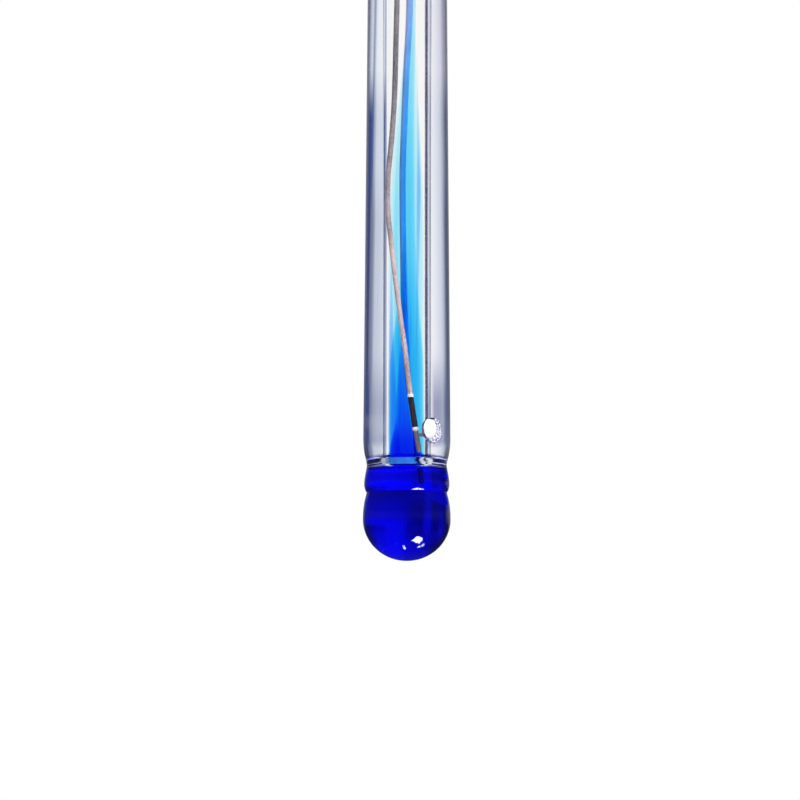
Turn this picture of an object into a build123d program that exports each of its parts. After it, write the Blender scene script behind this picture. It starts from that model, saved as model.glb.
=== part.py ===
from build123d import *
import math
import os

# Combination pH electrode with a glass shaft and a plug head.
# +Z points up towards the plug. The origin is on the axis, where the shaft leaves the head,
# and the membrane bulb hangs below it. All sizes are millimetres.

# Shaft and bulb: heights called *_h are measured up from the tip of the bulb.
SHAFT_LENGTH = 120.0
SHAFT_R = 6.0
SHAFT_WALL = 1.0
SHAFT_BORE_R = SHAFT_R - SHAFT_WALL
SHAFT_TOP_Z = 20.0
GROUND_TOP_R = 5.85
TIP_Z = -SHAFT_LENGTH
STRAIGHT_H = 16.4
SEAM_H = 12.8
SEAM_R = 5.47
SEAM_MID_R = 3.3
SEAM_RISE = 0.25
FLOOR_H = 13.9
FLOOR_FILLET = 0.6

STEM_R = 2.43
STEM_BORE_R = 1.9
STEM_TOP_Z = 24.0
STEM_FLARE_H = 13.8
BEAD_R = 5.82
BEAD_H = 10.3
GROOVE_R = 5.475
GROOVE_H = 9.1
SUPPORT_WALL = 0.5

BULB_R = 5.945
BULB_H = 5.6
MEMBRANE_WALL = 0.45

# Wires: the reference wire leans about inside the ring of electrolyte, in front of the stem.
WIRE_R = 0.3
COATING_R = 0.34
COATING_BEAD_R = 0.38
REFERENCE_RADIUS = 3.4
REFERENCE_ROUTE = [
    (140.0, -1.0),
    (96.0, -1.1),
    (66.0, -1.5),
    (51.0, -2.45),
    (33.0, -0.87),
    (14.6, 1.65),
]
REFERENCE_BENDS = [300.0, 150.0, 60.0, 150.0]
REFERENCE_COATING_H = (17.6, 21.6)
BEAD_LENGTH = 0.5
MEASURING_ROUTE = [
    (146.0, 0.0, 0.0),
    (118.0, 0.4, 1.2),
    (84.0, 0.25, 1.3),
    (50.0, -0.38, 1.3),
    (28.0, -0.05, 1.2),
    (10.0, 1.3, 0.3),
]
MEASURING_BENDS = [150.0, 300.0, 200.0, 90.0]
MEASURING_COATING_H = (10.0, 17.6)

# Liquid junction: a porous ceramic pin fused through the shaft wall.
JUNCTION_H = 17.25
JUNCTION_ANGLE = -56.0
JUNCTION_R = 1.35
JUNCTION_INNER_R = 3.85
COLLAR_R = 2.0
COLLAR_DEPTH = 0.55
BRIDGE_H = 16.6
BRIDGE_R = 0.22

# Head
LIP_THICK = 0.8
LIP_BORE_R = 6.1
FLANGE_R = 9.0
FLANGE_TOP_Z = 3.0
WAIST_R = 7.6
SHOULDER_Z = 26.0
GRIP_R = 9.4
GRIP_TOP_Z = 42.0
HEAD_BORE_R = 6.35
HEAD_CAVITY_TOP_Z = 35.5
HEAD_SOCKET_R = 5.6
GRIP_FLUTES = 20
FLUTE_R = 0.6
MARKER_Z = (37.5, 39.5)
MARKER_DEPTH = 0.7

GASKET_R = 7.0
GASKET_TOP_Z = 2.6
ADHESIVE_Z = (3.2, 20.0)
SEAL_Z = (13.5, 18.0)
STOPPER_Z = (19.0, 24.5)
ELECTROLYTE_TOP_Z = 6.0
BUFFER_TOP_Z = 10.0
POTTING_Z = (25.0, 34.0)

# Refill port and the sliding ring that shuts it
PORT_Z = 9.5
PORT_R = 1.75
SLIDER_Z = (3.4, 14.4)
SLIDER_BORE_R = WAIST_R + 0.06
SLIDER_R = 9.4
SLIDER_RIBS = 4
SEAL_RING_R = 0.5
SEAL_RING_BORE_R = WAIST_R + 0.02
SEAL_RING_ZS = (5.4, 12.9)

# Screw plug for the cable
PLUG_R = 5.3
PLUG_FLANGE_R = 7.6
PLUG_FLANGE_Z = (42.0, 44.0)
PLUG_TOP_Z = 54.0
PLUG_BORE_R = 3.7
PLUG_FLOOR_Z = 47.0
THREAD_START_Z = 46.2
THREAD_PITCH = 1.0
THREAD_TURNS = 7
THREAD_DEPTH = 0.5
THREAD_CREST = 0.2
INSULATOR_R = 2.6
INSULATOR_BOSS_R = 1.7
INSULATOR_TOP_Z = 50.5
CONTACT_R = 0.75
CONTACT_Z = (32.0, 53.0)
SHIELD_CONTACT_R = 3.3
SHIELD_CONTACT_Z = (47.4, 52.0)
SHIELD_SLOTS = 6
PLUG_GASKET_R = 0.7
LEAD_R = 0.6

os.makedirs("parts", exist_ok=True)


def up(height):
    """Z of a point that lies this far above the tip of the bulb."""
    return TIP_Z + height


def save(piece, label):
    """Label a finished piece and write it as its own file."""
    piece.part.label = label
    export_step(piece.part, f"parts/{label}.step")


def route_points(route):
    """Points of the reference wire, kept at one distance from the axis, in front of the stem."""
    return [(x, -math.sqrt(REFERENCE_RADIUS**2 - x**2), up(h)) for h, x in route]


def along(start, end, z):
    """Point of the straight line from start to end at this height."""
    share = (z - start.Z) / (end.Z - start.Z)
    return start + (end - start) * share


def sleeve_on(start, end, low_z, high_z, outer_r, inner_r):
    """Tube around a straight stretch of wire, between two heights."""
    low = along(start, end, low_z)
    high = along(start, end, high_z)
    direction = high - low
    with BuildPart() as tube:
        with BuildSketch(Plane(origin=low, z_dir=direction)):
            Circle(outer_r)
            Circle(inner_r, mode=Mode.SUBTRACT)
        extrude(amount=direction.length)
    return tube.part


# ---- Glass ----

seam_mid = (SEAM_MID_R, up(SEAM_H + SEAM_RISE))
seam_inner = (STEM_R, up(STEM_FLARE_H))
junction_plane = Plane(
    origin=(0, 0, up(JUNCTION_H)),
    z_dir=(math.cos(math.radians(JUNCTION_ANGLE)), math.sin(math.radians(JUNCTION_ANGLE)), 0),
)
port_plane = Plane(origin=(0, 0, PORT_Z), z_dir=(0, -1, 0))

with BuildPart() as outer_shaft:
    with BuildSketch(Plane.XZ):
        with BuildLine():
            Spline(
                (SEAM_R, up(SEAM_H)),
                (5.72, up(14.0)),
                (SHAFT_R, up(STRAIGHT_H)),
                tangents=[(0.35, 1), (0, 1)],
            )
            Line((SHAFT_R, up(STRAIGHT_H)), (SHAFT_R, 0))
            Line((SHAFT_R, 0), (GROUND_TOP_R, SHAFT_TOP_Z))
            Line((GROUND_TOP_R, SHAFT_TOP_Z), (SHAFT_BORE_R, SHAFT_TOP_Z))
            Line((SHAFT_BORE_R, SHAFT_TOP_Z), (SHAFT_BORE_R, up(FLOOR_H + FLOOR_FILLET)))
            RadiusArc(
                (SHAFT_BORE_R, up(FLOOR_H + FLOOR_FILLET)),
                (SHAFT_BORE_R - FLOOR_FILLET, up(FLOOR_H)),
                FLOOR_FILLET,
            )
            Line((SHAFT_BORE_R - FLOOR_FILLET, up(FLOOR_H)), (STEM_R, up(FLOOR_H)))
            Line((STEM_R, up(FLOOR_H)), seam_inner)
            Line(seam_inner, seam_mid)
            Line(seam_mid, (SEAM_R, up(SEAM_H)))
        make_face()
    revolve(axis=Axis.Z)
    with BuildSketch(junction_plane):
        Circle(COLLAR_R)
    extrude(amount=SHAFT_R + 1, mode=Mode.SUBTRACT)
    with BuildSketch(port_plane):
        Circle(PORT_R)
    extrude(amount=SHAFT_R + 1, mode=Mode.SUBTRACT)
save(outer_shaft, "outer_shaft")

with BuildPart() as inner_stem:
    with BuildSketch(Plane.XZ):
        with BuildLine():
            ThreePointArc((GROOVE_R, up(GROOVE_H)), (5.70, up(9.65)), (BEAD_R, up(BEAD_H)))
            Spline(
                (BEAD_R, up(BEAD_H)),
                (5.65, up(11.6)),
                (SEAM_R, up(SEAM_H)),
                tangents=[(0, 1), (-0.1, 1)],
            )
            Line((SEAM_R, up(SEAM_H)), seam_mid)
            Line(seam_mid, seam_inner)
            Line(seam_inner, (STEM_R, STEM_TOP_Z))
            Line((STEM_R, STEM_TOP_Z), (STEM_BORE_R, STEM_TOP_Z))
            Line((STEM_BORE_R, STEM_TOP_Z), (STEM_BORE_R, up(STEM_FLARE_H)))
            ThreePointArc(
                (STEM_BORE_R, up(STEM_FLARE_H)),
                (2.3, up(12.85)),
                (SEAM_MID_R, up(SEAM_H + SEAM_RISE - SUPPORT_WALL)),
            )
            Spline(
                (SEAM_MID_R, up(SEAM_H + SEAM_RISE - SUPPORT_WALL)),
                (4.7, up(12.2)),
                (BEAD_R - SUPPORT_WALL, up(BEAD_H)),
                tangents=[(1, -0.05), (0, -1)],
            )
            ThreePointArc(
                (BEAD_R - SUPPORT_WALL, up(BEAD_H)),
                (5.2, up(9.65)),
                (GROOVE_R - SUPPORT_WALL, up(GROOVE_H)),
            )
            Line((GROOVE_R - SUPPORT_WALL, up(GROOVE_H)), (GROOVE_R, up(GROOVE_H)))
        make_face()
    revolve(axis=Axis.Z)
save(inner_stem, "inner_stem")


def bulb_shoulder(inset):
    """Points of the bulb's meridian from its widest place up to the groove, set in from the outside."""
    widest = (BULB_R - inset, up(BULB_H))
    middle = (5.80 - inset, up(7.6))
    top = (GROOVE_R - (SUPPORT_WALL if inset else 0), up(GROOVE_H))
    return [widest, middle, top]


def bulb_bowl(inset):
    """Lower half of the bulb's meridian: a quarter of an ellipse, a little flatter than a sphere."""
    EllipticalCenterArc((0, up(BULB_H)), BULB_R - inset, BULB_H - inset, start_angle=-90, arc_size=90)


with BuildPart() as membrane_bulb:
    outside = bulb_shoulder(0)
    inside = bulb_shoulder(MEMBRANE_WALL)
    with BuildSketch(Plane.XZ):
        with BuildLine():
            bulb_bowl(0)
            ThreePointArc(*outside)
            Line(outside[-1], inside[-1])
            ThreePointArc(*inside)
            bulb_bowl(MEMBRANE_WALL)
            Line((0, up(0)), (0, up(MEMBRANE_WALL)))
        make_face()
    revolve(axis=Axis.Z)
save(membrane_bulb, "membrane_bulb")

# ---- Wires ----

reference_points = route_points(REFERENCE_ROUTE)
with BuildPart() as reference_wire:
    with BuildLine() as reference_path:
        FilletPolyline(*reference_points, radius=REFERENCE_BENDS)
    with BuildSketch(Plane(origin=reference_path.line @ 0, z_dir=reference_path.line % 0)):
        Circle(WIRE_R)
    sweep()
save(reference_wire, "reference_wire")

lean_start = Vector(*reference_points[-2])
lean_end = Vector(*reference_points[-1])
coating_low, coating_high = (up(h) for h in REFERENCE_COATING_H)
with BuildPart() as reference_coating:
    add(sleeve_on(lean_start, lean_end, coating_low, coating_high, COATING_R, WIRE_R))
save(reference_coating, "reference_coating")

with BuildPart() as coating_beads:
    for low in (coating_low - BEAD_LENGTH, coating_high):
        add(sleeve_on(lean_start, lean_end, low, low + BEAD_LENGTH, COATING_BEAD_R, WIRE_R))
save(coating_beads, "coating_beads")

measuring_points = [(x, y, up(h)) for h, x, y in MEASURING_ROUTE]
with BuildPart() as measuring_wire:
    with BuildLine() as measuring_path:
        FilletPolyline(*measuring_points, radius=MEASURING_BENDS)
    with BuildSketch(Plane(origin=measuring_path.line @ 0, z_dir=measuring_path.line % 0)):
        Circle(WIRE_R)
    sweep()
save(measuring_wire, "measuring_wire")

dip_start = Vector(*measuring_points[-2])
dip_end = Vector(*measuring_points[-1])
dip_low, dip_high = (up(h) for h in MEASURING_COATING_H)
with BuildPart() as measuring_coating:
    add(sleeve_on(dip_start, dip_end, dip_low, dip_high, COATING_R, WIRE_R))
save(measuring_coating, "measuring_coating")

# ---- Liquid junction ----

with BuildPart() as ceramic_junction:
    with BuildSketch(junction_plane.offset(JUNCTION_INNER_R)):
        Circle(JUNCTION_R)
    extrude(amount=SHAFT_R - JUNCTION_INNER_R + 1)
    with BuildSketch(Plane.XY.offset(up(JUNCTION_H - 3))):
        Circle(SHAFT_R)
    extrude(amount=6, mode=Mode.INTERSECT)
save(ceramic_junction, "ceramic_junction")

with BuildPart() as junction_collar:
    with BuildSketch(junction_plane.offset(SHAFT_BORE_R - COLLAR_DEPTH)):
        Circle(COLLAR_R)
        Circle(JUNCTION_R, mode=Mode.SUBTRACT)
    extrude(amount=SHAFT_WALL + COLLAR_DEPTH + 1)
    with BuildSketch(Plane.XY.offset(up(JUNCTION_H - 3))):
        Circle(SHAFT_R)
    extrude(amount=6, mode=Mode.INTERSECT)
save(junction_collar, "junction_collar")

bridge_z = up(BRIDGE_H)
bridge_start = along(lean_start, lean_end, bridge_z)
bridge_end = junction_plane.offset(JUNCTION_INNER_R + 0.2).origin
bridge_end = Vector(bridge_end.X, bridge_end.Y, bridge_z)
bridge_run = bridge_end - bridge_start
with BuildPart() as junction_bridge:
    with BuildSketch(Plane(origin=bridge_start, z_dir=bridge_run)):
        Circle(BRIDGE_R)
    extrude(amount=bridge_run.length)
    add(reference_wire.part, mode=Mode.SUBTRACT)
    add(ceramic_junction.part, mode=Mode.SUBTRACT)
save(junction_bridge, "junction_bridge")

# ---- Liquids ----

with BuildPart() as reference_electrolyte:
    with BuildSketch(Plane.XZ):
        with BuildLine():
            Line((STEM_R, up(FLOOR_H)), (SHAFT_BORE_R - FLOOR_FILLET, up(FLOOR_H)))
            RadiusArc(
                (SHAFT_BORE_R - FLOOR_FILLET, up(FLOOR_H)),
                (SHAFT_BORE_R, up(FLOOR_H + FLOOR_FILLET)),
                -FLOOR_FILLET,
            )
            Line((SHAFT_BORE_R, up(FLOOR_H + FLOOR_FILLET)), (SHAFT_BORE_R, ELECTROLYTE_TOP_Z))
            Line((SHAFT_BORE_R, ELECTROLYTE_TOP_Z), (STEM_R, ELECTROLYTE_TOP_Z))
            Line((STEM_R, ELECTROLYTE_TOP_Z), (STEM_R, up(FLOOR_H)))
        make_face()
    revolve(axis=Axis.Z)
    add(reference_wire.part, mode=Mode.SUBTRACT)
    add(reference_coating.part, mode=Mode.SUBTRACT)
    add(coating_beads.part, mode=Mode.SUBTRACT)
    add(ceramic_junction.part, mode=Mode.SUBTRACT)
    add(junction_collar.part, mode=Mode.SUBTRACT)
    add(junction_bridge.part, mode=Mode.SUBTRACT)
save(reference_electrolyte, "reference_electrolyte")

with BuildPart() as buffer_fill:
    with BuildSketch(Plane.XZ):
        with BuildLine():
            Line((0, BUFFER_TOP_Z), (0, up(MEMBRANE_WALL)))
            bulb_bowl(MEMBRANE_WALL)
            ThreePointArc(*inside)
            ThreePointArc(
                (GROOVE_R - SUPPORT_WALL, up(GROOVE_H)),
                (5.2, up(9.65)),
                (BEAD_R - SUPPORT_WALL, up(BEAD_H)),
            )
            Spline(
                (BEAD_R - SUPPORT_WALL, up(BEAD_H)),
                (4.7, up(12.2)),
                (SEAM_MID_R, up(SEAM_H + SEAM_RISE - SUPPORT_WALL)),
                tangents=[(0, 1), (-1, 0.05)],
            )
            ThreePointArc(
                (SEAM_MID_R, up(SEAM_H + SEAM_RISE - SUPPORT_WALL)),
                (2.3, up(12.85)),
                (STEM_BORE_R, up(STEM_FLARE_H)),
            )
            Line((STEM_BORE_R, up(STEM_FLARE_H)), (STEM_BORE_R, BUFFER_TOP_Z))
            Line((STEM_BORE_R, BUFFER_TOP_Z), (0, BUFFER_TOP_Z))
        make_face()
    revolve(axis=Axis.Z)
    add(measuring_wire.part, mode=Mode.SUBTRACT)
    add(measuring_coating.part, mode=Mode.SUBTRACT)
save(buffer_fill, "buffer_fill")

# ---- Seals and fillings at the top of the glass ----

with BuildPart() as annulus_seal:
    with BuildSketch(Plane.XY.offset(SEAL_Z[0])):
        Circle(SHAFT_BORE_R)
        Circle(STEM_R, mode=Mode.SUBTRACT)
    extrude(amount=SEAL_Z[1] - SEAL_Z[0])
    add(reference_wire.part, mode=Mode.SUBTRACT)
save(annulus_seal, "annulus_seal")

with BuildPart() as stem_stopper:
    with BuildSketch(Plane.XY.offset(STOPPER_Z[0])):
        Circle(STEM_BORE_R)
    extrude(amount=STEM_TOP_Z - STOPPER_Z[0])
    with BuildSketch(Plane.XY.offset(STEM_TOP_Z)):
        Circle(STEM_R)
    extrude(amount=STOPPER_Z[1] - STEM_TOP_Z)
    add(measuring_wire.part, mode=Mode.SUBTRACT)
save(stem_stopper, "stem_stopper")

with BuildPart() as shaft_adhesive:
    with BuildSketch(Plane.XZ):
        with BuildLine():
            taper = (SHAFT_R - GROUND_TOP_R) / SHAFT_TOP_Z
            Polyline(
                (SHAFT_R - taper * ADHESIVE_Z[0], ADHESIVE_Z[0]),
                (HEAD_BORE_R, ADHESIVE_Z[0]),
                (HEAD_BORE_R, ADHESIVE_Z[1]),
                (SHAFT_R - taper * ADHESIVE_Z[1], ADHESIVE_Z[1]),
                close=True,
            )
        make_face()
    revolve(axis=Axis.Z)
    with BuildSketch(port_plane):
        Circle(PORT_R)
    extrude(amount=HEAD_BORE_R + 1, mode=Mode.SUBTRACT)
save(shaft_adhesive, "shaft_adhesive")

with BuildPart() as shaft_gasket:
    with BuildSketch(Plane.XZ):
        with Locations(((SHAFT_R + GASKET_R) / 2, (LIP_THICK + GASKET_TOP_Z) / 2)):
            RectangleRounded(GASKET_R - SHAFT_R, GASKET_TOP_Z - LIP_THICK, 0.35)
    revolve(axis=Axis.Z)
save(shaft_gasket, "shaft_gasket")

# ---- Head ----

with BuildPart() as head_shell:
    with BuildSketch(Plane.XZ):
        with BuildLine():
            Polyline(
                (LIP_BORE_R, 0),
                (FLANGE_R, 0),
                (FLANGE_R, FLANGE_TOP_Z),
                (WAIST_R, FLANGE_TOP_Z),
                (WAIST_R, SHOULDER_Z),
                (GRIP_R, SHOULDER_Z),
                (GRIP_R, MARKER_Z[0]),
                (GRIP_R - MARKER_DEPTH, MARKER_Z[0]),
                (GRIP_R - MARKER_DEPTH, MARKER_Z[1]),
                (GRIP_R, MARKER_Z[1]),
                (GRIP_R, GRIP_TOP_Z),
                (HEAD_SOCKET_R, GRIP_TOP_Z),
                (HEAD_SOCKET_R, HEAD_CAVITY_TOP_Z),
                (HEAD_BORE_R, HEAD_CAVITY_TOP_Z),
                (HEAD_BORE_R, GASKET_TOP_Z),
                (GASKET_R, GASKET_TOP_Z),
                (GASKET_R, LIP_THICK),
                (LIP_BORE_R, LIP_THICK),
                close=True,
            )
        make_face()
    revolve(axis=Axis.Z)
    rims = head_shell.edges().filter_by(GeomType.CIRCLE)
    fillet([e for e in rims if abs(e.radius - FLANGE_R) < 0.01], 0.7)
    rims = head_shell.edges().filter_by(GeomType.CIRCLE)
    chamfer([e for e in rims if abs(e.radius - GRIP_R) < 0.01 and e.center().Z < SHOULDER_Z + 1], 0.8)
    rims = head_shell.edges().filter_by(GeomType.CIRCLE)
    fillet([e for e in rims if abs(e.radius - GRIP_R) < 0.01 and e.center().Z > GRIP_TOP_Z - 1], 1.2)
    flute_height = MARKER_Z[0] - SHOULDER_Z - 3.0
    with BuildSketch(Plane.XY.offset(SHOULDER_Z + 2.0)):
        with PolarLocations(GRIP_R + 0.15, GRIP_FLUTES):
            Circle(FLUTE_R)
    extrude(amount=flute_height, mode=Mode.SUBTRACT)
    with BuildSketch(port_plane):
        Circle(PORT_R)
    extrude(amount=WAIST_R + 1, mode=Mode.SUBTRACT)
save(head_shell, "head_shell")

with BuildPart() as marker_ring:
    with BuildSketch(Plane.XZ):
        with Locations((GRIP_R - MARKER_DEPTH / 2 + 0.05, sum(MARKER_Z) / 2)):
            Rectangle(MARKER_DEPTH + 0.1, MARKER_Z[1] - MARKER_Z[0])
    revolve(axis=Axis.Z)
    rims = marker_ring.edges().filter_by(GeomType.CIRCLE)
    fillet([e for e in rims if e.radius > GRIP_R], 0.3)
save(marker_ring, "marker_ring")

# ---- Screw plug ----

with BuildPart() as connector_body:
    with BuildSketch(Plane.XZ):
        with BuildLine():
            Polyline(
                (INSULATOR_R, HEAD_CAVITY_TOP_Z),
                (HEAD_SOCKET_R, HEAD_CAVITY_TOP_Z),
                (HEAD_SOCKET_R, PLUG_FLANGE_Z[0]),
                (PLUG_FLANGE_R, PLUG_FLANGE_Z[0]),
                (PLUG_FLANGE_R, PLUG_FLANGE_Z[1]),
                (PLUG_R - THREAD_DEPTH, PLUG_FLANGE_Z[1]),
                (PLUG_R - THREAD_DEPTH, PLUG_TOP_Z),
                (PLUG_BORE_R, PLUG_TOP_Z),
                (PLUG_BORE_R, PLUG_FLOOR_Z),
                (INSULATOR_R, PLUG_FLOOR_Z),
                close=True,
            )
        make_face()
        for turn in range(THREAD_TURNS):
            base = THREAD_START_Z + turn * THREAD_PITCH
            with BuildLine():
                Polyline(
                    (PLUG_R - THREAD_DEPTH - 0.1, base),
                    (PLUG_R, base + 0.4 - THREAD_CREST / 2),
                    (PLUG_R, base + 0.4 + THREAD_CREST / 2),
                    (PLUG_R - THREAD_DEPTH - 0.1, base + 0.8),
                    close=True,
                )
            make_face()
    revolve(axis=Axis.Z)
    rims = connector_body.edges().filter_by(GeomType.CIRCLE)
    fillet([e for e in rims if abs(e.radius - PLUG_FLANGE_R) < 0.01], 0.4)
save(connector_body, "connector_body")

with BuildPart() as centre_contact:
    with BuildSketch(Plane.XY.offset(CONTACT_Z[0])):
        Circle(CONTACT_R)
    extrude(amount=CONTACT_Z[1] - CONTACT_Z[0])
    fillet(centre_contact.faces().sort_by(Axis.Z)[-1].edges(), CONTACT_R * 0.8)
save(centre_contact, "centre_contact")

with BuildPart() as connector_insulator:
    with BuildSketch(Plane.XY.offset(HEAD_CAVITY_TOP_Z)):
        Circle(INSULATOR_R)
        Circle(CONTACT_R, mode=Mode.SUBTRACT)
    extrude(amount=PLUG_FLOOR_Z - HEAD_CAVITY_TOP_Z)
    with BuildSketch(Plane.XY.offset(PLUG_FLOOR_Z)):
        Circle(INSULATOR_BOSS_R)
        Circle(CONTACT_R, mode=Mode.SUBTRACT)
    extrude(amount=INSULATOR_TOP_Z - PLUG_FLOOR_Z)
save(connector_insulator, "connector_insulator")

with BuildPart() as shield_contact:
    with BuildSketch(Plane.XY.offset(SHIELD_CONTACT_Z[0])):
        Circle(PLUG_BORE_R)
        Circle(SHIELD_CONTACT_R, mode=Mode.SUBTRACT)
    extrude(amount=SHIELD_CONTACT_Z[1] - SHIELD_CONTACT_Z[0])
    with BuildSketch(Plane.XY.offset(SHIELD_CONTACT_Z[0] + 1.0)):
        with PolarLocations(SHIELD_CONTACT_R, SHIELD_SLOTS):
            Rectangle(2.0, 0.6)
    extrude(amount=SHIELD_CONTACT_Z[1] - SHIELD_CONTACT_Z[0], mode=Mode.SUBTRACT)
save(shield_contact, "shield_contact")

with BuildPart() as connector_gasket:
    with BuildSketch(Plane.XZ):
        with Locations((PLUG_R - THREAD_DEPTH + PLUG_GASKET_R, PLUG_FLANGE_Z[1] + PLUG_GASKET_R)):
            Circle(PLUG_GASKET_R)
    revolve(axis=Axis.Z)
save(connector_gasket, "connector_gasket")

# ---- Leads and potting inside the head ----

with BuildPart() as centre_lead:
    with BuildSketch(Plane.XY.offset(STOPPER_Z[1])):
        Circle(LEAD_R)
    extrude(amount=CONTACT_Z[0] - STOPPER_Z[1])
    add(measuring_wire.part, mode=Mode.SUBTRACT)
save(centre_lead, "centre_lead")

reference_top = Vector(*reference_points[0])
with BuildPart() as shield_lead:
    with BuildLine() as shield_path:
        FilletPolyline(
            (reference_top.X, reference_top.Y, reference_top.Z),
            (reference_top.X, reference_top.Y, 22.0),
            (-2.0, -3.6, 29.0),
            (-2.0, -3.6, HEAD_CAVITY_TOP_Z),
            radius=3.0,
        )
    with BuildSketch(Plane(origin=shield_path.line @ 0, z_dir=shield_path.line % 0)):
        Circle(LEAD_R)
    sweep()
save(shield_lead, "shield_lead")

with BuildPart() as head_potting:
    with BuildSketch(Plane.XY.offset(POTTING_Z[0])):
        Circle(HEAD_BORE_R)
    extrude(amount=POTTING_Z[1] - POTTING_Z[0])
    add(centre_lead.part, mode=Mode.SUBTRACT)
    add(shield_lead.part, mode=Mode.SUBTRACT)
    add(centre_contact.part, mode=Mode.SUBTRACT)
    add(measuring_wire.part, mode=Mode.SUBTRACT)
save(head_potting, "head_potting")

# ---- Sliding ring over the refill port ----

slider_low, slider_high = SLIDER_Z
slider_length = slider_high - slider_low
with BuildPart() as refill_slider:
    with BuildSketch(Plane.XZ):
        with Locations(((SLIDER_BORE_R + SLIDER_R) / 2, (slider_low + slider_high) / 2)):
            RectangleRounded(SLIDER_R - SLIDER_BORE_R, slider_length, 0.4)
        rib_pitch = slider_length / (SLIDER_RIBS + 1)
        with Locations(*[(SLIDER_R + 0.3, slider_low + rib_pitch * (i + 1)) for i in range(SLIDER_RIBS)]):
            Circle(0.75, mode=Mode.SUBTRACT)
        with Locations(*[(SEAL_RING_BORE_R + SEAL_RING_R, z) for z in SEAL_RING_ZS]):
            Rectangle(2 * SEAL_RING_R + 0.04, 2 * SEAL_RING_R + 0.2, mode=Mode.SUBTRACT)
    revolve(axis=Axis.Z)
save(refill_slider, "refill_slider")

with BuildPart() as slider_seals:
    with BuildSketch(Plane.XZ):
        with Locations(*[(SEAL_RING_BORE_R + SEAL_RING_R, z) for z in SEAL_RING_ZS]):
            Circle(SEAL_RING_R)
    revolve(axis=Axis.Z)
save(slider_seals, "slider_seals")
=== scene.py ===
import math

import bmesh
import bpy
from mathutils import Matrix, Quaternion, Vector, noise


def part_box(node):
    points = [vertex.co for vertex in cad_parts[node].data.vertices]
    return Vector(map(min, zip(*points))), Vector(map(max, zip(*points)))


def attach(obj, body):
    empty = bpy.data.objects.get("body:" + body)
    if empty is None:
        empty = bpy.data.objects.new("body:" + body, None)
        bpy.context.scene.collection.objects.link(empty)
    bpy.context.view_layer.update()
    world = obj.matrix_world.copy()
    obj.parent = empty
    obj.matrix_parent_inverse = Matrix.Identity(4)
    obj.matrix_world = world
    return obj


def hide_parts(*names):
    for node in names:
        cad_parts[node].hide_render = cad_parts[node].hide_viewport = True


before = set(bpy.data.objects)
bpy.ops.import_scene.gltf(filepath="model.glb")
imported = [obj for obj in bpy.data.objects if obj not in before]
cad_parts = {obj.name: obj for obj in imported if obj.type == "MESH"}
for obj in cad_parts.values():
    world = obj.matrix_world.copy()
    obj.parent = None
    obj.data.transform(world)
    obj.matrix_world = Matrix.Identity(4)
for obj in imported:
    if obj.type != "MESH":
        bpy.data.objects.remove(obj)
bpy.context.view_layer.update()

MM = 0.001
TIP_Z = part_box("membrane_bulb")[0].z
ELECTRODE = "electrode"

# Sizes in millimetres, as the CAD model has them. Heights are above the tip of the bulb.
SHAFT_R, SHAFT_BORE_R = 6.0, 5.0
SHAFT_TOP_H = 140.0
HEAD_SEAT_H = 120.0
GROUND_TOP_R = 5.85
SEAM_H, SEAM_R = 12.8, 5.47
SEAM_MID_R, SEAM_RISE = 3.3, 0.25
STRAIGHT_H, FLOOR_H = 16.4, 13.9
STEM_R, STEM_BORE_R = 2.43, 1.9
STEM_TOP_H = 144.0
STEM_FLARE_H = 13.8
BEAD_R, BEAD_H = 5.82, 10.3
GROOVE_R, GROOVE_H = 5.475, 9.1
SUPPORT_WALL, MEMBRANE_WALL = 0.5, 0.45
BULB_R, BULB_H = 5.945, 5.6
WIRE_R, COATING_R, COATING_BEAD_R = 0.3, 0.34, 0.38
WIRE_LOW, WIRE_HIGH = 10.8, 145.9
DIP_LOW, DIP_HIGH = 10.55, 17.3
COAT_LOW, COAT_HIGH = 17.6, 21.6
LOWER_BEAD, UPPER_BEAD = (17.1, 17.65), (21.55, 22.1)
REFERENCE_RADIUS = 3.4
JUNCTION_H, JUNCTION_ANGLE = 17.25, math.radians(-56.0)
JUNCTION_R, JUNCTION_INNER_R, COLLAR_R = 1.35, 3.85, 2.0
FACE_WIDTH, FACE_SHIFT = 0.76, 0.24
BRIDGE_H, BRIDGE_R = 16.6, 0.22

# The plug on the head. Its heights are in the row frame.
PLUG_BOTTOM_Z, PLUG_FLOOR_Z, PLUG_TOP_Z = 35.5, 47.0, 54.0
FLANGE_LOW, FLANGE_HIGH = 42.0, 44.0
PLUG_R, PLUG_BORE_R, PLUG_FLANGE_R, HEAD_SOCKET_R, INSULATOR_R = 5.3, 3.7, 7.6, 5.6, 2.6
THREAD_LOW, THREAD_HIGH, THREAD_PITCH, THREAD_DEPTH = 45.4, 53.4, 1.0, 0.5
KNURLS, KNURL_DEPTH = 60, 0.16

# Refraction: glass against air, and glass against the watery liquids inside it.
GLASS_IOR, LIQUID_IOR = 1.47, 1.36
WALL_IOR = GLASS_IOR / LIQUID_IOR

SEGMENTS, DISC_SEGMENTS = 160, 72
# How far the floor lies below the tip, in metres.
FLOOR_DROP = 0.25
# Where the stem's painted dark shade line lies, from the front towards +X.
SHADE_LINE_DEGREES = 60.5

# Small fits, in millimetres: how far the joint's folded glass goes up the neck and down the bead,
# roundings, how deep the junction's rim stands in the bore, the gap round the buffer, and a plume's tip.
FOLD_ABOVE, FOLD_BELOW = 0.55, 0.25
FLOOR_FILLET, PLUG_EDGE = 0.6, 0.3
RIM_DEPTH, FILL_GAP = 0.5, 0.02
THINNEST_PLUME = 0.004
# The side on which the junction's rim is heavy, round the junction's own axis.
HEAVY_SIDE = math.radians(-30.0)
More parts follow.
